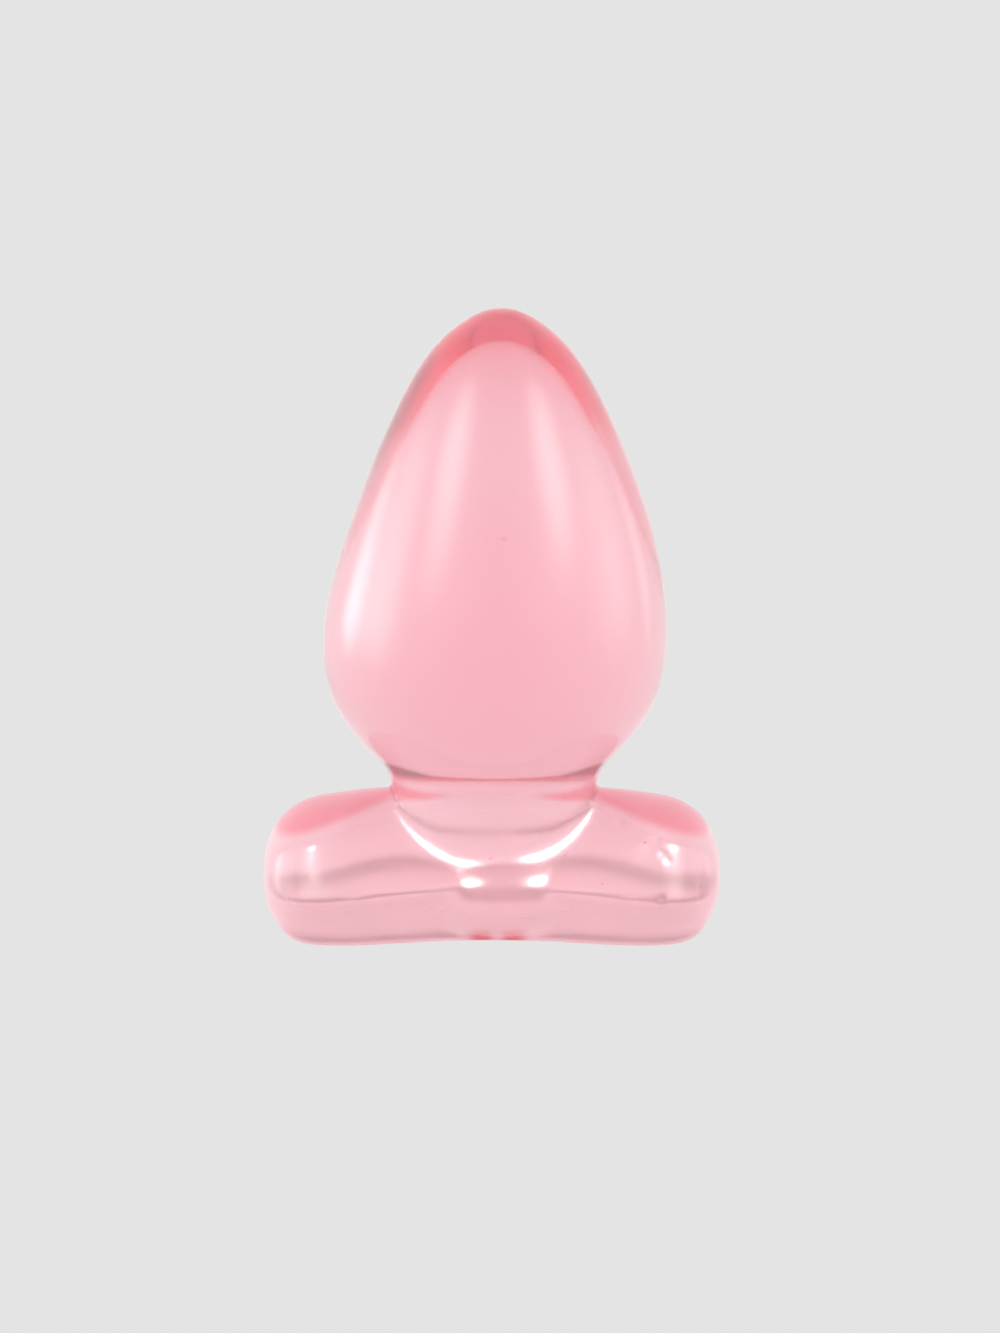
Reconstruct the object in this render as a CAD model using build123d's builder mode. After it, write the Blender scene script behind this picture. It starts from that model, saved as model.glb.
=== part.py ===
"""Soft one-piece tapered plug: an egg-shaped head on a short thick neck, over a T-bar base.

The object is a single elastic moulding. It is written as three solids, base, neck and head, because the
neck bends: the base and the head stay close to rigid, and the neck between them takes the bend.

Frame: millimetres, +Z up along the plug, +X along the bar of the base, origin at the centre of the foot.
"""

import os
from math import cos, radians, sin

from build123d import *

# Driving dimensions
OVERALL_HEIGHT = 140.0
HEAD_DIAMETER = 77.2
NECK_DIAMETER = 44.8
BASE_HEIGHT = 30.0

# Head: an egg, widest low down, with a round tip and an underside that tucks in to the neck
HEAD_RADIUS = HEAD_DIAMETER / 2
NECK_RADIUS = NECK_DIAMETER / 2
HEAD_FOOT_HEIGHT = 35.0
HEAD_WIDEST_HEIGHT = 65.0
TIP_RADIUS = 14.7
TIP_CAP_ANGLE = 45.0
UNDERSIDE_POINTS = [
    (0.800 * HEAD_RADIUS, 43.5),
    (0.955 * HEAD_RADIUS, 53.3),
]
SHOULDER_POINTS = [
    (0.945 * HEAD_RADIUS, 81.0),
    (0.790 * HEAD_RADIUS, 99.7),
    (0.545 * HEAD_RADIUS, 121.6),
]

# Base: an oblong bar, widest under half way up, drawn in to a smaller foot below and a crown above.
# The three outlines are its sharp envelope: the rounding takes about 1.4 mm off each long side.
ENVELOPE_LENGTH = 101.2
ENVELOPE_DEPTH = 58.4
WIDEST_HEIGHT = 12.0
WIDEST_CORNER = 18.0
FOOT_LENGTH = 84.0
FOOT_DEPTH = 42.0
FOOT_CORNER = 13.0
TOP_LENGTH = 97.0
TOP_DEPTH = 31.0
TOP_CORNER = 12.0
TOP_HEIGHT = BASE_HEIGHT + 1.0

# Crown: a barrel laid along X trims the top of the bar to a dome that droops towards its ends
CROWN_RADIUS = 36.0
CROWN_DROOP = 4.0
BARREL_HALF_LENGTH = 60.0

# Rounding of the moulded edges
CROWN_ROUND = 5.0
WIDEST_ROUND = 6.0
FOOT_ROUND = 4.0


def on_tip(angle: float) -> tuple[float, float]:
    """The point of the round tip's profile that lies this many degrees away from its top."""
    turn = radians(angle)
    return TIP_RADIUS * sin(turn), OVERALL_HEIGHT - TIP_RADIUS * (1 - cos(turn))


# The T-bar base
with BuildPart() as base:
    with BuildSketch(Plane.XY):
        RectangleRounded(FOOT_LENGTH, FOOT_DEPTH, FOOT_CORNER)
    with BuildSketch(Plane.XY.offset(WIDEST_HEIGHT)):
        RectangleRounded(ENVELOPE_LENGTH, ENVELOPE_DEPTH, WIDEST_CORNER)
    with BuildSketch(Plane.XY.offset(TOP_HEIGHT)):
        RectangleRounded(TOP_LENGTH, TOP_DEPTH, TOP_CORNER)
    loft(ruled=True)
    hub_height = BASE_HEIGHT - CROWN_RADIUS
    with BuildSketch(Plane.XZ):
        with BuildLine():
            rim_left = (-BARREL_HALF_LENGTH, BASE_HEIGHT - CROWN_DROOP)
            rim_right = (BARREL_HALF_LENGTH, BASE_HEIGHT - CROWN_DROOP)
            hub_left = (-BARREL_HALF_LENGTH, hub_height)
            hub_right = (BARREL_HALF_LENGTH, hub_height)
            ThreePointArc(rim_left, (0, BASE_HEIGHT), rim_right)
            Polyline(rim_right, hub_right, hub_left, rim_left)
        make_face()
    revolve(axis=Axis((0, 0, hub_height), (1, 0, 0)), mode=Mode.INTERSECT)
    crown_rim = base.edges().filter_by_position(Axis.Z, 0.68 * BASE_HEIGHT, BASE_HEIGHT)
    fillet(crown_rim, CROWN_ROUND)
    widest_rim = base.edges().filter_by_position(Axis.Z, WIDEST_HEIGHT - 0.1, WIDEST_HEIGHT + 0.1)
    fillet(widest_rim, WIDEST_ROUND)
    foot_rim = base.edges().group_by(Axis.Z)[0]
    fillet(foot_rim, FOOT_ROUND)
base.part.label = "base"

# The neck, a round column that stands on the crown and ends under the head
with BuildPart() as neck:
    with BuildSketch(Plane.XY.offset(WIDEST_HEIGHT)):
        Circle(NECK_RADIUS)
    extrude(amount=HEAD_FOOT_HEIGHT - WIDEST_HEIGHT)
    add(base.part, mode=Mode.SUBTRACT)
neck.part.label = "neck"

# The head, from the flat disc where it meets the neck up to its round tip
with BuildPart() as head:
    with BuildSketch(Plane.XZ):
        with BuildLine():
            foot_edge = (NECK_RADIUS, HEAD_FOOT_HEIGHT)
            cap_edge = on_tip(TIP_CAP_ANGLE)
            widest = (HEAD_RADIUS, HEAD_WIDEST_HEIGHT)
            Spline(foot_edge, *UNDERSIDE_POINTS, widest, *SHOULDER_POINTS, cap_edge)
            ThreePointArc(cap_edge, on_tip(TIP_CAP_ANGLE / 2), on_tip(0))
            Polyline(on_tip(0), (0, HEAD_FOOT_HEIGHT), foot_edge)
        make_face()
    revolve(axis=Axis.Z)
head.part.label = "head"

os.makedirs("parts", exist_ok=True)
for piece in (base, neck, head):
    export_step(piece.part, f"parts/{piece.part.label}.step")
    print(piece.part.label, round(piece.part.volume / 1000, 1), "cm3")
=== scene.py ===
"""One-piece soft jelly plug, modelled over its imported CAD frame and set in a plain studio."""

import logging
import math
from collections.abc import Callable
from dataclasses import dataclass, field
from enum import Enum

import bpy
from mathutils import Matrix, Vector

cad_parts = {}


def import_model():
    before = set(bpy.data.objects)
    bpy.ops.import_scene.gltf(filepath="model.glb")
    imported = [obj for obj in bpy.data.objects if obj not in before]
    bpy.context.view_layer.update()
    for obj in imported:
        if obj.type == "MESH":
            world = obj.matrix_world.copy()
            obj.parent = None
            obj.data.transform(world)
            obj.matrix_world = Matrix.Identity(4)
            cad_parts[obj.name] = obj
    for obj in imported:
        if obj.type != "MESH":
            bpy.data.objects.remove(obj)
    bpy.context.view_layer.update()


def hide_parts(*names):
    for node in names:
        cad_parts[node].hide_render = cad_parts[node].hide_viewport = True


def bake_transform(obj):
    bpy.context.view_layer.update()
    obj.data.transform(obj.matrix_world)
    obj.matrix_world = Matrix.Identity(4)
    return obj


MM = 0.001
Point = tuple[float, float]
Colour = tuple[float, float, float]
LOG = logging.getLogger("jelly_plug")


class Modifier(Enum):
    """The modifiers that finish a piece, under the names that a modeller gives them."""

    SUBDIVIDE = "SUBSURF"
    REMESH = "REMESH"
    SMOOTH = "SMOOTH"


def select_only(piece: bpy.types.Object) -> None:
    """Leaves object mode's selection with one piece alone, and makes it active.

    Args:
        piece: the object to select.
    """
    bpy.ops.object.select_all(action="DESELECT")
    piece.select_set(True)
    bpy.context.view_layer.objects.active = piece


def finish(piece: bpy.types.Object, kind: Modifier, **settings: object) -> None:
    """Adds a modifier to a piece and applies it.

    Args:
        piece: the mesh object to change.
        kind: which modifier to use.
        settings: values for the modifier's own properties.
    """
    select_only(piece)
    modifier = piece.modifiers.new(kind.name.lower(), kind.value)
    for name, value in settings.items():
        setattr(modifier, name, value)
    bpy.ops.object.modifier_apply(modifier=modifier.name)


def subdivide(piece: bpy.types.Object, levels: int) -> None:
    """Rounds a cage off with this many levels of subdivision."""
    finish(piece, Modifier.SUBDIVIDE, levels=levels, render_levels=levels)


def begin_edit() -> bpy.types.Object:
    """Enters edit mode on the active object, with all of it selected.

    Returns:
        The object being edited.
    """
    piece = bpy.context.object
    bpy.ops.object.mode_set(mode="EDIT")
    bpy.ops.mesh.select_all(action="SELECT")
    return piece


def end_edit(name: str) -> bpy.types.Object:
    """Closes the edit: normals outward, object mode, place applied to the mesh, and named.

    Args:
        name: the piece's name.

    Returns:
        The finished object, at the origin, unturned and unscaled.
    """
    bpy.ops.mesh.select_all(action="SELECT")
    bpy.ops.mesh.remove_doubles(threshold=1e-6)
    bpy.ops.mesh.normals_make_consistent(inside=False)
    bpy.ops.object.mode_set(mode="OBJECT")
    bpy.ops.object.transform_apply(location=True, rotation=True, scale=True)
    piece = bpy.context.object
    piece.name = name
    piece.data.name = name
    return piece


def pick(wanted: Callable[[Vector], bool]) -> None:
    """Selects, in edit mode, the vertices whose places pass a test, and nothing else.

    Args:
        wanted: takes a vertex's place and says whether it is picked.
    """
    bpy.ops.mesh.select_mode(type="VERT")
    bpy.ops.mesh.select_all(action="DESELECT")
    bpy.ops.object.mode_set(mode="OBJECT")
    piece = bpy.context.object
    for vertex in piece.data.vertices:
        vertex.select = wanted(piece.matrix_world @ vertex.co)
    bpy.ops.object.mode_set(mode="EDIT")
    bpy.ops.mesh.select_mode(type="VERT")


def extrude_ring(rise: float, grow: float, centre: tuple[float, float, float]) -> None:
    """Extrudes the selected ring straight up or down, then scales the new ring about a centre.

    Args:
        rise: how far the new ring stands above the old one, in metres.
        grow: the new ring's radius over the old one's.
        centre: the point that the ring is scaled about.
    """
    bpy.ops.mesh.extrude_region_move(TRANSFORM_OT_translate={"value": (0, 0, rise)})
    bpy.ops.transform.resize(value=(grow, grow, 1), center_override=centre)


@dataclass(frozen=True)
class JellyFinish:
    """Clear soft elastomer, tinted pink all through, with a satin bloom on the head.

    The depth of the jelly gives most of the colour. The surface adds painted shade, a deeper pink
    where the jelly looks deepest and two dark red spots at the foot's front edge, and a little
    haze, mostly in the base.
    """

    tint: Colour = (0.985, 0.33, 0.43)
    density: float = 14.2
    veil: Colour = (0.99, 0.86, 0.9)
    # Painted shade: the deeper pink laid on the domes, at the tip and low down; the specks use it
    # too.
    shade_and_speck_pink: Colour = (0.97, 0.26, 0.34)
    # Painted shade: the dark red of two spots painted at the front bottom edge of the foot.
    shade_spot_red: Colour = (0.8, 0.07, 0.12)
    milkiness: float = 0.08
    base_milkiness: float = 0.27
    ior: float = 1.34
    head_roughness: float = 0.1
    base_roughness: float = 0.22
    mirror_level: float = 0.32
    bloom: float = 0.7
    bloom_roughness: float = 0.42
    bloom_heights: Point = (30 * MM, 46 * MM)
    # Where the painted shade of deeper pink lies: on the domes, towards the tip and low down.
    dome_slope: float = 0.3
    dome_edge: Point = (35.8 * MM, 38.2 * MM)
    dome_fade: Point = (33 * MM, 36 * MM)
    dome_share: float = 0.85
    tip_heights: Point = (105 * MM, 140 * MM)
    tip_share: float = 0.65
    low_heights: Point = (33 * MM, 46 * MM)
    low_share: float = 0.14
    # Place and size of the two spots of painted shade at the foot's front edge.
    shade_spot_place: float = 1.2 * MM
    shade_spot_ends: Point = (4 * MM, 8 * MM)
    shade_spot_gap: Point = (0.0, 2.5 * MM)
    shade_spot_gap_share: float = 0.4
    shade_spot_heights: Point = (2.0 * MM, 6.5 * MM)
    shade_spot_front: Point = (-15 * MM, -12 * MM)
    speck_cells: float = 110.0
    speck_edge: Point = (0.02, 0.035)
    grain_scale: float = 1300.0
    grain_detail: float = 2.0
    grain_depth: float = 0.07 * MM

    def make(self) -> bpy.types.Material:
        """Builds the material.

        Returns:
            The node material for the whole moulding.
        """
        material = bpy.data.materials.new("pink_jelly")
        material.use_nodes = True
        tree = material.node_tree
        nodes, links = tree.nodes, tree.links
        shader = nodes["Principled BSDF"]
        shader.inputs["IOR"].default_value = self.ior
        shader.inputs["Specular IOR Level"].default_value = self.mirror_level
        shader.inputs["Coat Roughness"].default_value = self.bloom_roughness
        volume = nodes.new("ShaderNodeVolumeAbsorption")
        volume.inputs["Color"].default_value = (*self.tint, 1.0)
        volume.inputs["Density"].default_value = self.density
        links.new(volume.outputs["Volume"], nodes["Material Output"].inputs["Volume"])

        place = nodes.new("ShaderNodeTexCoord").outputs["Object"]
        axes = nodes.new("ShaderNodeSeparateXYZ")
        links.new(place, axes.inputs["Vector"])
        height = axes.outputs["Z"]
        for socket, low, high in (
            ("Coat Weight", 0.0, self.bloom),
            ("Roughness", self.base_roughness, self.head_roughness),
            ("Transmission Weight", 1.0 - self.base_milkiness, 1.0 - self.milkiness),
        ):
            step = self.ramp(tree, height, self.bloom_heights, low, high)
            links.new(step, shader.inputs[socket])
        links.new(self.colour_with_painted_shade(tree, place, axes), shader.inputs["Base Color"])

        grain = nodes.new("ShaderNodeTexNoise")
        grain.inputs["Scale"].default_value = self.grain_scale
        grain.inputs["Detail"].default_value = self.grain_detail
        links.new(place, grain.inputs["Vector"])
        bump = nodes.new("ShaderNodeBump")
        bump.inputs["Strength"].default_value = 1.0
        bump.inputs["Distance"].default_value = self.grain_depth
        links.new(grain.outputs["Fac"], bump.inputs["Height"])
        links.new(bump.outputs["Normal"], shader.inputs["Coat Normal"])
        return material

    def ramp(
        self,
        tree: bpy.types.NodeTree,
        source: bpy.types.NodeSocket,
        over: Point,
        low: float = 0.0,
        high: float = 1.0,
    ) -> bpy.types.NodeSocket:
        """Adds a smooth step.

        Args:
            tree: the material's nodes.
            source: what the step is taken over.
            over: where it begins and ends.
            low: its value before the start.
            high: its value past the end.

        Returns:
            The socket that carries the step.
        """
        step = tree.nodes.new("ShaderNodeMapRange")
        step.interpolation_type = "SMOOTHSTEP"
        names = ("From Min", "From Max", "To Min", "To Max")
        for name, value in zip(names, (*over, low, high)):
            step.inputs[name].default_value = value
        tree.links.new(source, step.inputs["Value"])
        return step.outputs["Result"]

    def maths(
        self, tree: bpy.types.NodeTree, operation: str, *sources: bpy.types.NodeSocket | float
    ) -> bpy.types.NodeSocket:
        """Adds a maths node.

        Args:
            tree: the material's nodes.
            operation: the node's operation, such as MULTIPLY.
            sources: sockets or plain numbers that it works on.

        Returns:
            The socket that carries the answer.
        """
        node = tree.nodes.new("ShaderNodeMath")
        node.operation = operation
        for index, source in enumerate(sources):
            if isinstance(source, bpy.types.NodeSocket):
                tree.links.new(source, node.inputs[index])
            else:
                node.inputs[index].default_value = source
        return node.outputs["Value"]

    def colour_with_painted_shade(
        self, tree: bpy.types.NodeTree, place: bpy.types.NodeSocket, axes: bpy.types.Node
    ) -> bpy.types.NodeSocket:
        """Paints shade as a deeper pink on the wings' domes, at the tip and low down, and as two
        dark red spots at the foot's front edge; deepens the colour in a few specks too.

        Args:
            tree: the material's nodes.
            place: the place on the object.
            axes: the node that splits the place into its axes.

        Returns:
            The socket that carries the surface colour.
        """
        x, z = axes.outputs["X"], axes.outputs["Z"]
        outward = self.maths(tree, "MULTIPLY", self.maths(tree, "ABSOLUTE", x), self.dome_slope)
        slant = self.maths(tree, "ADD", outward, z)
        # Painted shade: a deeper pink on the wings' domes, fading out under the head.
        below_head = self.ramp(tree, z, self.dome_fade, self.dome_share, 0.0)
        dome_shade = self.maths(tree, "MULTIPLY", self.ramp(tree, slant, self.dome_edge), below_head)
        # Painted shade: a deeper pink towards the tip.
        tip = self.ramp(tree, z, self.tip_heights, 0.0, self.tip_share)
        cells = tree.nodes.new("ShaderNodeTexVoronoi")
        cells.inputs["Scale"].default_value = self.speck_cells
        tree.links.new(place, cells.inputs["Vector"])
        specks = self.ramp(tree, cells.outputs["Distance"], self.speck_edge, 1.0, 0.0)
        # Painted shade: a little deeper pink low down, in the neck and the base.
        low_shade = self.ramp(tree, z, self.low_heights, self.low_share, 0.0)
        share = dome_shade
        for more in (tip, specks, low_shade):
            share = self.maths(tree, "MAXIMUM", share, more)
        tinted = self.mixed(tree, share, self.veil, self.shade_and_speck_pink)
        # Painted shade: two dark red spots are mixed in at the foot's front bottom edge.
        return self.mixed(tree, self.painted_shade_spots(tree, axes), tinted, self.shade_spot_red)

    def painted_shade_spots(self, tree: bpy.types.NodeTree, axes: bpy.types.Node) -> bpy.types.NodeSocket:
        """Marks two spots of painted shade side by side at the front edge of the foot.

        Args:
            tree: the material's nodes.
            axes: the node that splits the place into its axes.

        Returns:
            The socket that carries 1 on the spots and 0 elsewhere.
        """
        x, y, z = (axes.outputs[name] for name in "XYZ")
        aside = self.maths(tree, "ABSOLUTE", self.maths(tree, "SUBTRACT", x, self.shade_spot_place))
        spots = self.ramp(tree, aside, self.shade_spot_ends, 1.0, 0.0)
        for source, over, low, high in (
            (aside, self.shade_spot_gap, self.shade_spot_gap_share, 1.0),
            (z, self.shade_spot_heights, 1.0, 0.0),
            (y, self.shade_spot_front, 1.0, 0.0),
        ):
            spots = self.maths(tree, "MULTIPLY", spots, self.ramp(tree, source, over, low, high))
        return spots

    def mixed(
        self,
        tree: bpy.types.NodeTree,
        share: bpy.types.NodeSocket,
        under: bpy.types.NodeSocket | Colour,
        over: Colour,
    ) -> bpy.types.NodeSocket:
        """Adds a mix of two colours.

        Args:
            tree: the material's nodes.
            share: how much of the upper colour shows.
            under: the lower colour, or the socket that carries it.
            over: the upper colour.

        Returns:
            The socket that carries the mixed colour.
        """
        mix = tree.nodes.new("ShaderNodeMix")
        mix.data_type = "RGBA"
        tree.links.new(share, mix.inputs[0])
        lower, upper = (socket for socket in mix.inputs if socket.type == "RGBA")
        if isinstance(under, bpy.types.NodeSocket):
            tree.links.new(under, lower)
        else:
            lower.default_value = (*under, 1.0)
        upper.default_value = (*over, 1.0)
        return next(socket for socket in mix.outputs if socket.type == "RGBA")


@dataclass(frozen=True)
class BarSection:
    """One cross-section of the T-bar: half depths and heights of its edges, in metres."""

    place: float
    foot: Point
    ridge: Point
    web: Point
    rim: Point
    crown: float
    dome_shares: Point = (0.75, 0.42)

    def dome(self, share: float) -> Point:
        """The point of the dome that lies this share of the way from its crown to its rim."""
        return self.rim[0] * share, self.crown - (self.crown - self.rim[1]) * share * share

    def levels(self) -> tuple[Point, ...]:
        """The section's edges in order, from the foot up to the last one below the crown."""
        outer, inner = (self.dome(share) for share in self.dome_shares)
        return (self.foot, self.ridge, self.web, self.rim, outer, inner)

    def squeezed(self, place: float, depth: float, tall: float, centre: float) -> "BarSection":
        """The same section further out, where the bar closes in.

        Args:
            place: the new section's place along the bar.
            depth: its depth over this one's.
            tall: its height over this one's.
            centre: the height of its middle.

        Returns:
            The squeezed section.
        """
        middle = self.crown / 2
        foot, ridge, web, rim = (
            (half * depth, centre + (height - middle) * tall)
            for half, height in (self.foot, self.ridge, self.web, self.rim)
        )
        return BarSection(place, foot, ridge, web, rim, centre + middle * tall)


def in_mm(place: float, edges: tuple[Point, Point, Point, Point], crown: float) -> BarSection:
    """Makes a section from sizes in millimetres, with its edges as foot, ridge, web and rim."""
    foot, ridge, web, rim = ((half * MM, height * MM) for half, height in edges)
    return BarSection(place * MM, foot, ridge, web, rim, crown * MM)


@dataclass(frozen=True)
class BarShape:
    """The cage of the T-bar base: its sections from the middle out, and how its ends close in.

    The back of the foot stands out further than the front, which keeps light from being trapped
    behind a crisp back edge.
    """

    sections: tuple[BarSection, ...] = (
        in_mm(0, ((19.6, 1.1), (27.6, 15.0), (21.0, 21.0), (6.0, 30.4)), 31.0),
        in_mm(14, ((20.2, 0.8), (28.2, 14.4), (21.0, 20.5), (6.0, 30.4)), 31.2),
        in_mm(24, ((20.8, 0.3), (28.7, 13.4), (21.5, 19.8), (8.0, 29.4)), 31.4),
        in_mm(30, ((21.0, 0.0), (28.9, 12.7), (23.0, 19.5), (15.4, 26.2)), 30.6),
        in_mm(36, ((21.0, 0.0), (28.8, 12.0), (24.9, 18.0), (21.0, 23.7)), 29.7),
    )
    ends: tuple[tuple[float, float, float, float], ...] = (
        (43 * MM, 0.95, 0.95, 14.3 * MM),
        (48.3 * MM, 0.77, 0.70, 13.4 * MM),
        (50.8 * MM, 0.46, 0.32, 13.0 * MM),
    )
    back_foot: float = 1.25
    back_from: float = 8 * MM
    foot_top: float = 2 * MM
    crispness: float = 0.6
    crisp_rows: tuple[int, ...] = (0, 1, 3)
    crisp_to: float = 49 * MM
    block: float = 100 * MM
    rounding: int = 4

    def all_sections(self) -> list[BarSection]:
        """Every section from the middle to the end."""
        last = self.sections[-1]
        return [*self.sections, *(last.squeezed(*end) for end in self.ends)]


@dataclass
class Moulding:
    """The whole plug as one closed skin: head, neck, flare and T-bar base, in metres."""

    neck_radius: float = 21.8 * MM
    foot_lean: float = 0.5 * MM
    tip_lean: float = 2.1 * MM
    lean_from: float = 60 * MM
    lean_to: float = 97 * MM
    head_root: float = 12 * MM
    head_sides: int = 48
    head_rounding: int = 3
    head_stations_mm: tuple[Point, ...] = (
        (35.0, 21.9), (39.4, 26.6), (43.0, 30.3), (49.9, 35.4), (56.7, 37.8), (65.0, 38.6),
        (74.3, 37.8), (85.0, 35.3), (95.8, 31.9), (106.7, 27.8), (117.5, 23.0), (125.5, 18.7),
        (131.2, 14.5), (135.4, 9.8), (138.3, 5.0), (139.2, 2.0),
    )
    flare_fit: float = 0.45 * MM
    flare_sides: int = 96
    flare_depth: float = 38 * MM
    flare_middle: float = 25 * MM
    roof_middle: float = 14 * MM
    roof_size: tuple[float, float, float] = (70 * MM, 55 * MM, 5 * MM)
    roof_taper: Point = (0.9, 0.88)
    flare_voxel: float = 2.0 * MM
    flare_passes: int = 42
    boss_sides: int = 32
    boss_rounding: int = 2
    boss_stray: float = 2.5 * MM
    boss_stations: tuple[Point, ...] = (
        (1.2 * MM, 17.0 * MM),
        (2.6 * MM, 22.4 * MM),
        (6.5 * MM, 27.4 * MM),
        (12.5 * MM, 30.6 * MM),
        (17.0 * MM, 27.8 * MM),
        (20.0 * MM, 23.6 * MM),
        (24.0 * MM, 19.0 * MM),
    )
    bar: BarShape = field(default_factory=BarShape)
    voxel: float = 0.75 * MM
    skin_passes: int = 8
    head_from: float = 33 * MM
    rear_from: float = 6 * MM
    head_passes: int = 30
    back_from: float = 9 * MM
    back_top: float = 44 * MM
    back_passes: int = 260
    front_from: float = -8 * MM
    front_heights: Point = (18 * MM, 41 * MM)
    front_reach: float = 30 * MM
    front_passes: int = 110
    bend_heights: Point = (26 * MM, 44 * MM)
    nicks: tuple[tuple[float, float, float, float], ...] = (
        (28.4 * MM, 26.0 * MM, 1.0 * MM, 0.45 * MM),
        (36.2 * MM, 24.0 * MM, 0.8 * MM, 0.4 * MM),
        (37.3 * MM, 21.4 * MM, 0.8 * MM, 0.45 * MM),
        (38.6 * MM, 20.4 * MM, 0.7 * MM, 0.4 * MM),
        (37.0 * MM, 12.6 * MM, 0.9 * MM, 0.5 * MM),
    )

    def build_head(self) -> bpy.types.Object:
        """Raises the egg ring by ring from a circle, and closes it over the tip.

        Returns:
            The closed head, which reaches down into the base.
        """
        height, radius = self.head_root, self.neck_radius
        bpy.ops.mesh.primitive_circle_add(
            vertices=self.head_sides,
            radius=radius,
            location=(self.foot_lean, 0, height),
            fill_type="NGON",
        )
        piece = begin_edit()
        for next_height, next_radius in self.head_stations_mm:
            next_height, next_radius = next_height * MM, next_radius * MM
            grow = next_radius / radius
            lean = self.lean_at(next_height) - self.lean_at(height)
            extrude_ring(next_height - height, grow, (self.lean_at(height), 0, next_height))
            bpy.ops.transform.translate(value=(lean, 0, 0))
            height, radius = next_height, next_radius
        end_edit("head_form")
        subdivide(piece, self.head_rounding)
        return piece

    def lean_at(self, height: float) -> float:
        """How far the head's axis stands off along X at a height, in metres.

        Args:
            height: above the floor, in metres.

        Returns:
            The foot's stray below the widest level, easing up to the tip's stray.
        """
        share = (height - self.lean_from) / (self.lean_to - self.lean_from)
        share = min(1.0, max(0.0, share))
        ease = share * share * (3 - 2 * share)
        return self.foot_lean + (self.tip_lean - self.foot_lean) * ease

    def build_bar(self) -> bpy.types.Object:
        """Makes the bar: a tall block cut at every section and edge, then drawn in to them.

        Returns:
            The closed bar.
        """
        sections = self.bar.all_sections()
        reach, block = sections[-1].place, self.bar.block
        rows = len(sections[0].levels()) - 1
        middle = (0, 0, rows * block / 2)
        bpy.ops.mesh.primitive_cube_add(size=1, location=middle)
        begin_edit()
        bpy.ops.transform.resize(value=(2 * reach, 2 * block, rows * block), center_override=middle)
        cuts = [((0, 0, row * block), (0, 0, 1)) for row in range(1, rows)]
        cuts += [((0, 0, 0), (0, 1, 0)), ((0, 0, 0), (1, 0, 0))]
        places = [side * section.place for section in sections[1:-1] for side in (-1, 1)]
        cuts += [((place, 0, 0), (1, 0, 0)) for place in places]
        for place, facing in cuts:
            bpy.ops.mesh.select_all(action="SELECT")
            bpy.ops.mesh.bisect(plane_co=place, plane_no=facing)
        self.sharpen_bar()
        for section in sections:
            self.draw_in(section)
        pick(lambda co: co.y > self.bar.back_from and co.z < self.bar.foot_top)
        bpy.ops.transform.resize(value=(1, self.bar.back_foot, 1), center_override=(0, 0, 0))
        piece = end_edit("bar_form")
        subdivide(piece, self.bar.rounding)
        return piece

    def draw_in(self, section: BarSection) -> None:
        """Moves the block's points at one place along the bar in to the section there.

        Args:
            section: the cross-section to take.
        """
        block = self.bar.block
        near = block / 4
        top = len(section.levels()) - 1

        def move(level: int, half_depth: float, target: Point) -> None:
            """Moves the points at one level and half depth of the block.

            Args:
                level: which level of the block they are on.
                half_depth: how far they stand off the middle, in metres.
                target: their half depth and height in the section.
            """
            pick(
                lambda co: abs(abs(co.x) - section.place) < MM
                and abs(co.z - level * block) < near
                and abs(abs(co.y) - half_depth) < near
            )
            if half_depth:
                drawn = (1, target[0] / half_depth, 1)
                bpy.ops.transform.resize(value=drawn, center_override=(0, 0, 0))
            bpy.ops.transform.translate(value=(0, 0, target[1] - level * block))

        move(0, 0.0, (0.0, section.foot[1]))
        move(top, 0.0, (0.0, section.crown))
        if section == self.bar.all_sections()[-1]:
            for level in range(1, top):
                move(level, 0.0, (0.0, section.levels()[level][1]))
        for level, target in enumerate(section.levels()):
            move(level, block, target)

    def sharpen_bar(self) -> None:
        """Keeps the foot, the ridge and the dome's rim crisp when the cage is rounded off."""
        piece = bpy.context.object
        block = self.bar.block
        bpy.ops.mesh.select_mode(type="EDGE")
        bpy.ops.mesh.select_all(action="DESELECT")
        bpy.ops.object.mode_set(mode="OBJECT")
        mesh = piece.data
        for edge in mesh.edges:
            one, other = (piece.matrix_world @ mesh.vertices[index].co for index in edge.vertices)
            along = abs(one.x - other.x) > MM and min(abs(one.y), abs(other.y)) > block / 2
            row = round(one.z / block)
            reach = max(abs(one.x), abs(other.x))
            edge.select = along and row in self.bar.crisp_rows and reach < self.bar.crisp_to
        bpy.ops.object.mode_set(mode="EDIT")
        bpy.ops.transform.edge_crease(value=self.bar.crispness)
        bpy.ops.mesh.select_mode(type="VERT")

    def build_flare(self) -> bpy.types.Object:
        """Makes the web that sweeps from the neck into the front and back of the base.

        Returns:
            The closed flare.
        """
        bpy.ops.mesh.primitive_cylinder_add(
            vertices=self.flare_sides,
            radius=self.neck_radius + self.flare_fit,
            depth=self.flare_depth,
            location=(self.foot_lean, 0, self.flare_middle),
        )
        column = bpy.context.object
        middle = (0, 0, self.roof_middle)
        bpy.ops.mesh.primitive_cube_add(size=1, location=middle)
        roof = begin_edit()
        bpy.ops.transform.resize(value=self.roof_size, center_override=middle)
        pick(lambda co: co.z > self.roof_middle)
        bpy.ops.transform.resize(value=(*self.roof_taper, 1), center_override=middle)
        end_edit("flare_form")
        select_only(roof)
        column.select_set(True)
        bpy.context.view_layer.objects.active = roof
        bpy.ops.object.join()
        finish(roof, Modifier.REMESH, mode="VOXEL", voxel_size=self.flare_voxel)
        finish(roof, Modifier.SMOOTH, factor=0.5, iterations=self.flare_passes)
        return roof

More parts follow.
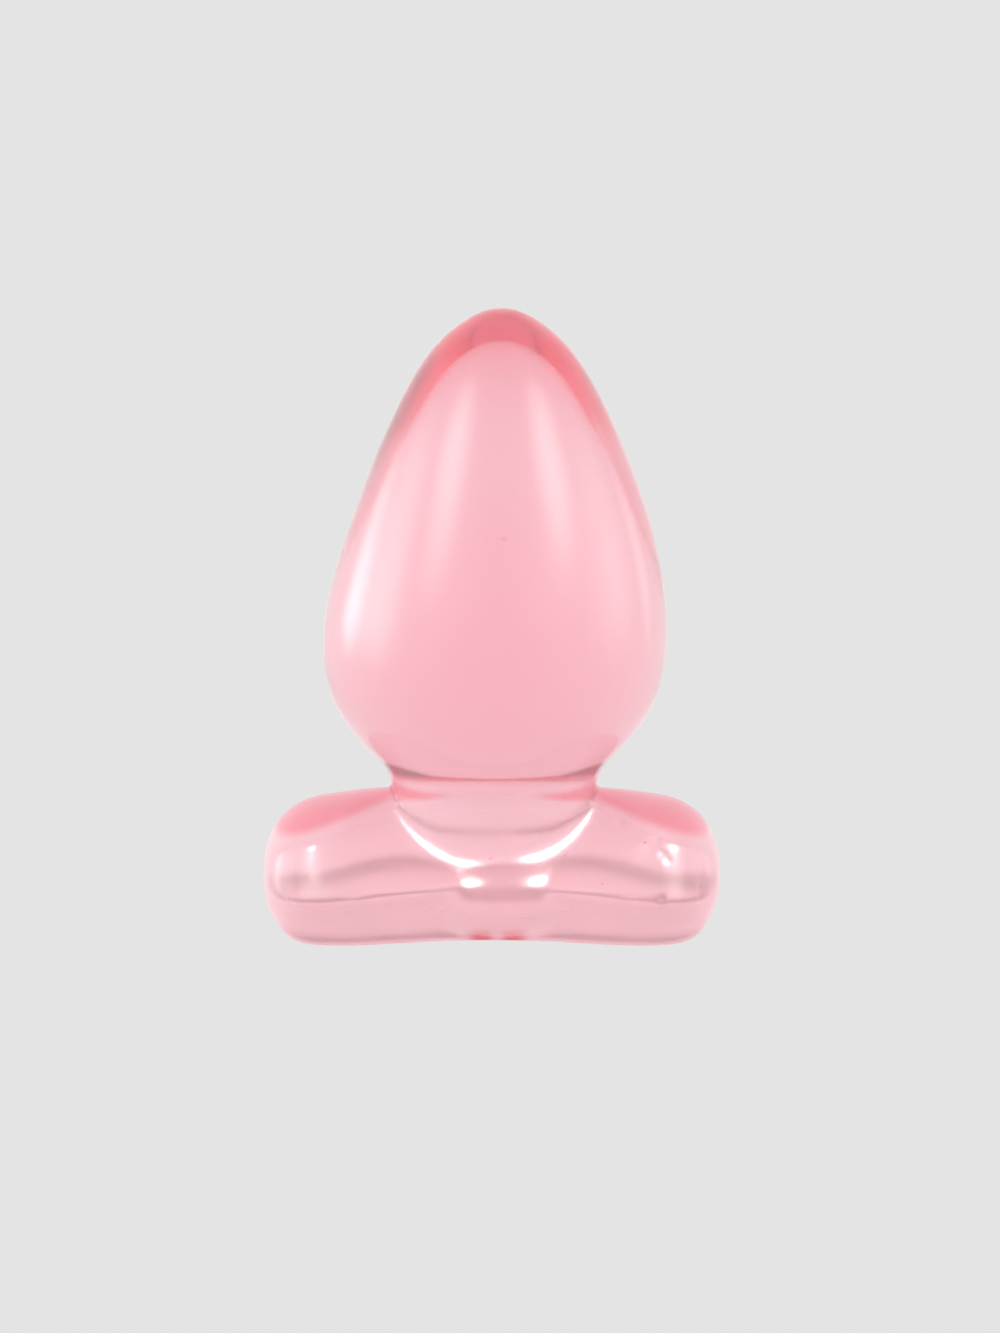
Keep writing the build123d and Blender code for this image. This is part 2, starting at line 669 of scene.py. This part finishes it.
    def build_boss(self) -> bpy.types.Object:
        """Turns the round swelling that comes through the front and back of the bar under the neck.

        Returns:
            The closed boss.
        """
        height, radius = self.boss_stations[0]
        bpy.ops.mesh.primitive_circle_add(
            vertices=self.boss_sides,
            radius=radius,
            location=(self.boss_stray, 0, height),
            fill_type="NGON",
        )
        piece = begin_edit()
        for next_height, next_radius in self.boss_stations[1:]:
            grow = next_radius / radius
            extrude_ring(next_height - height, grow, (self.boss_stray, 0, next_height))
            height, radius = next_height, next_radius
        end_edit("boss_form")
        subdivide(piece, self.boss_rounding)
        return piece

    def fuse(self, forms: list[bpy.types.Object]) -> bpy.types.Object:
        """Joins the forms and skins them with one closed mesh.

        Args:
            forms: closed meshes that overlap.

        Returns:
            The moulding's single skin.
        """
        select_only(forms[0])
        for form in forms[1:]:
            form.select_set(True)
        bpy.ops.object.join()
        skin = bpy.context.object
        finish(skin, Modifier.REMESH, mode="VOXEL", voxel_size=self.voxel)
        finish(skin, Modifier.SMOOTH, factor=0.5, iterations=self.skin_passes)
        self.smooth_region(
            skin, lambda co: co.z > self.head_from or co.y > self.rear_from, self.head_passes
        )
        self.smooth_region(
            skin, lambda co: co.z < self.back_top and co.y > self.back_from, self.back_passes
        )
        low, high = self.front_heights
        self.smooth_region(
            skin,
            lambda co: low < co.z < high
            and co.y < self.front_from
            and abs(co.x) < self.front_reach,
            self.front_passes,
        )
        self.nick(skin)
        select_only(skin)
        bpy.ops.object.shade_smooth()
        skin.name = "jelly_body"
        skin.data.name = "jelly_body"
        return skin

    def smooth_region(
        self, skin: bpy.types.Object, wanted: Callable[[Vector], bool], passes: int
    ) -> None:
        """Smooths one region of the skin and leaves the rest as it is.

        Args:
            skin: the moulding's single skin.
            wanted: takes a point's place and says whether it is in the region.
            passes: how many times the region is smoothed.
        """
        begin_edit()
        pick(wanted)
        bpy.ops.object.vertex_group_assign_new()
        bpy.ops.object.mode_set(mode="OBJECT")
        group = skin.vertex_groups[0].name
        finish(skin, Modifier.SMOOTH, factor=0.5, iterations=passes, vertex_group=group)
        skin.vertex_groups.clear()

    def nick(self, skin: bpy.types.Object) -> None:
        """Presses a few small nicks into the front of the right wing, as from knocks.

        Args:
            skin: the moulding's single skin.
        """
        select_only(skin)
        for x, z, size, depth in self.nicks:
            begin_edit()
            pick(lambda co: co.y < self.front_from and math.hypot(co.x - x, co.z - z) < size)
            bpy.ops.transform.translate(value=(0, depth, 0))
            bpy.ops.object.mode_set(mode="OBJECT")

    def build(self) -> bpy.types.Object:
        """Builds the skin, dresses it and hides the frame's parts.

        Returns:
            The finished piece.
        """
        forms = [self.build_head(), self.build_bar(), self.build_flare(), self.build_boss()]
        skin = self.fuse(forms)
        skin.data.materials.clear()
        skin.data.materials.append(JellyFinish().make())
        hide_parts("head", "neck", "base")
        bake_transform(skin)
        LOG.info("%s: %d faces", skin.name, len(skin.data.polygons))
        return skin


@dataclass(frozen=True)
class Softbox:
    """One soft light of the studio, bright in its middle and fading out to its edges."""

    name: str
    azimuth: float
    elevation: float
    width: float
    height: float
    watts: float
    distance: float = 0.8
    spread: float = 180.0
    aim: tuple[float, float, float] = (0.0, 0.0, 70 * MM)
    lights_haze: bool = True
    peak: float = 3.0

    def build(self) -> bpy.types.Object:
        """Hangs the softbox, facing its aim, where it shows in reflections but not through jelly.

        Returns:
            The light object.
        """
        aim = Vector(self.aim)
        turn, rise = math.radians(self.azimuth), math.radians(self.elevation)
        level = math.cos(rise)
        out = Vector((math.sin(turn) * level, -math.cos(turn) * level, math.sin(rise)))
        lamp = bpy.data.lights.new(self.name, "AREA")
        lamp.shape = "RECTANGLE"
        lamp.size, lamp.size_y = self.width, self.height
        lamp.energy = self.watts
        lamp.spread = math.radians(self.spread)
        self.soften(lamp)
        light = bpy.data.objects.new(self.name, lamp)
        light.location = aim + out * self.distance
        light.rotation_euler = out.to_track_quat("Z", "Y").to_euler()
        light.visible_camera = False
        light.visible_transmission = False
        light.visible_diffuse = self.lights_haze
        bpy.context.scene.collection.objects.link(light)
        return light

    def soften(self, lamp: bpy.types.AreaLight) -> None:
        """Makes the light fall off smoothly from its middle to its edges.

        Args:
            lamp: the area light to give a falling strength.
        """
        lamp.use_nodes = True
        nodes, links = lamp.node_tree.nodes, lamp.node_tree.links
        glow = nodes["Emission"]
        place = nodes.new("ShaderNodeTexCoord")
        middle = nodes.new("ShaderNodeVectorMath")
        middle.operation = "DISTANCE"
        middle.inputs[1].default_value = (0.5, 0.5, 0.0)
        fall = nodes.new("ShaderNodeMapRange")
        fall.interpolation_type = "SMOOTHSTEP"
        fall.inputs["From Min"].default_value = 0.5
        fall.inputs["From Max"].default_value = 0.0
        fall.inputs["To Max"].default_value = self.peak
        links.new(place.outputs["UV"], middle.inputs[0])
        links.new(middle.outputs["Value"], fall.inputs["Value"])
        links.new(fall.outputs["Result"], glow.inputs["Strength"])


@dataclass
class Studio:
    """A pale floor, a plain pale surround, soft lights and the camera, in metres."""

    backdrop: float = 0.775
    surround: float = 0.96
    surround_below: float = 0.92
    below_from: Point = (-0.85, -0.1)
    floor_radius: float = 4.0
    backdrop_radius: float = 5.0
    bounces: int = 32
    jelly_bounces: int = 24
    sensor_mm: float = 36.0
    camera_distance: float = 1.1
    camera_elevation: float = 11.4
    frame_height: float = 296 * MM
    aim: tuple[float, float, float] = (1.8 * MM, 0.0, 59 * MM)
    softboxes: tuple[Softbox, ...] = (
        Softbox("key_left", -50, 35, 0.55, 0.7, 2.6),
        Softbox("key_right", 50, 35, 0.55, 0.7, 2.6),
        Softbox("side_left", -86, 10, 0.8, 0.8, 3.0),
        Softbox("side_right", 86, 10, 0.8, 0.8, 1.5),
        Softbox("rim_left", -112, 5, 0.5, 0.5, 1.6),
        Softbox("rim_right", 120, 5, 0.3, 0.6, 0.25),
        Softbox(
            "low_left", -50, 58, 0.09, 0.09, 0.055,
            distance=0.35, spread=7, aim=(-5 * MM, -25 * MM, 19 * MM), lights_haze=False,
        ),
        Softbox(
            "low_right", 60, 58, 0.09, 0.09, 0.1,
            distance=0.35, spread=7, aim=(6 * MM, -25 * MM, 19 * MM), lights_haze=False,
        ),
    )

    def paper(self, name: str) -> bpy.types.Material:
        """Makes a plain pale paper, lit evenly from behind.

        Args:
            name: the material's name.

        Returns:
            The material.
        """
        paper = bpy.data.materials.new(name)
        paper.use_nodes = True
        shader = paper.node_tree.nodes["Principled BSDF"]
        shader.inputs["Base Color"].default_value = (0, 0, 0, 1)
        shader.inputs["Roughness"].default_value = 0.9
        shader.inputs["Specular IOR Level"].default_value = 0.0
        shader.inputs["Emission Color"].default_value = (1, 1, 1, 1)
        shader.inputs["Emission Strength"].default_value = self.backdrop
        return paper

    def hide_from_jelly(self, sheet: bpy.types.Object) -> None:
        """Leaves a sheet of paper in plain view, and out of the light that crosses the jelly.

        Args:
            sheet: the floor or the backdrop.
        """
        sheet.visible_diffuse = False
        sheet.visible_glossy = False
        sheet.visible_transmission = False
        sheet.visible_shadow = False

    def build_floor(self) -> bpy.types.Object:
        """Lays a wide round floor under the plug.

        Returns:
            The floor.
        """
        bpy.ops.mesh.primitive_circle_add(
            vertices=128, radius=self.floor_radius, fill_type="NGON", location=(0, 0, 0)
        )
        floor = bpy.context.object
        floor.name = "floor"
        floor.data.materials.append(self.paper("floor_paper"))
        self.hide_from_jelly(floor)
        return floor

    def build_backdrop(self) -> bpy.types.Object:
        """Hangs a plain backdrop all round, of the floor's tone.

        Returns:
            The backdrop.
        """
        bpy.ops.mesh.primitive_ico_sphere_add(
            subdivisions=4, radius=self.backdrop_radius, location=(0, 0, 0)
        )
        backdrop = bpy.context.object
        backdrop.name = "backdrop"
        backdrop.data.materials.append(self.paper("backdrop_paper"))
        self.hide_from_jelly(backdrop)
        return backdrop

    def build_surround(self) -> None:
        """Fills the room with even white light, a little weaker from below."""
        world = bpy.data.worlds.new("studio_surround")
        world.use_nodes = True
        nodes, links = world.node_tree.nodes, world.node_tree.links
        axes = nodes.new("ShaderNodeSeparateXYZ")
        links.new(nodes.new("ShaderNodeTexCoord").outputs["Generated"], axes.inputs["Vector"])
        fade = nodes.new("ShaderNodeMapRange")
        fade.interpolation_type = "SMOOTHSTEP"
        fade.inputs["From Min"].default_value = self.below_from[0]
        fade.inputs["From Max"].default_value = self.below_from[1]
        fade.inputs["To Min"].default_value = self.surround_below
        fade.inputs["To Max"].default_value = self.surround
        links.new(axes.outputs["Z"], fade.inputs["Value"])
        links.new(fade.outputs["Result"], nodes["Background"].inputs["Strength"])
        nodes["Background"].inputs["Color"].default_value = (1, 1, 1, 1)
        bpy.context.scene.world = world

    def build_camera(self) -> bpy.types.Object:
        """Sets the camera at the viewing angle.

        Returns:
            The camera object.
        """
        lens = bpy.data.cameras.new("camera")
        lens.sensor_fit = "VERTICAL"
        lens.sensor_height = self.sensor_mm
        lens.lens = self.sensor_mm * self.camera_distance / self.frame_height
        camera = bpy.data.objects.new("camera", lens)
        rise = math.radians(self.camera_elevation)
        away = Vector((0, -math.cos(rise), math.sin(rise))) * self.camera_distance
        camera.location = Vector(self.aim) + away
        camera.rotation_euler = (math.pi / 2 - rise, 0, 0)
        bpy.context.scene.collection.objects.link(camera)
        bpy.context.scene.camera = camera
        return camera

    def build(self) -> None:
        """Builds the whole studio."""
        self.build_floor()
        self.build_backdrop()
        self.build_surround()
        for softbox in self.softboxes:
            softbox.build()
        self.build_camera()
        scene = bpy.context.scene
        scene.view_settings.view_transform = "Standard"
        scene.cycles.max_bounces = self.bounces
        scene.cycles.transmission_bounces = self.jelly_bounces
        scene.cycles.caustics_reflective = False
        LOG.info("studio: %d softboxes", len(self.softboxes))


def main() -> None:
    logging.basicConfig(level=logging.INFO)
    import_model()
    Moulding().build()
    Studio().build()


if __name__ == "__main__":
    main()
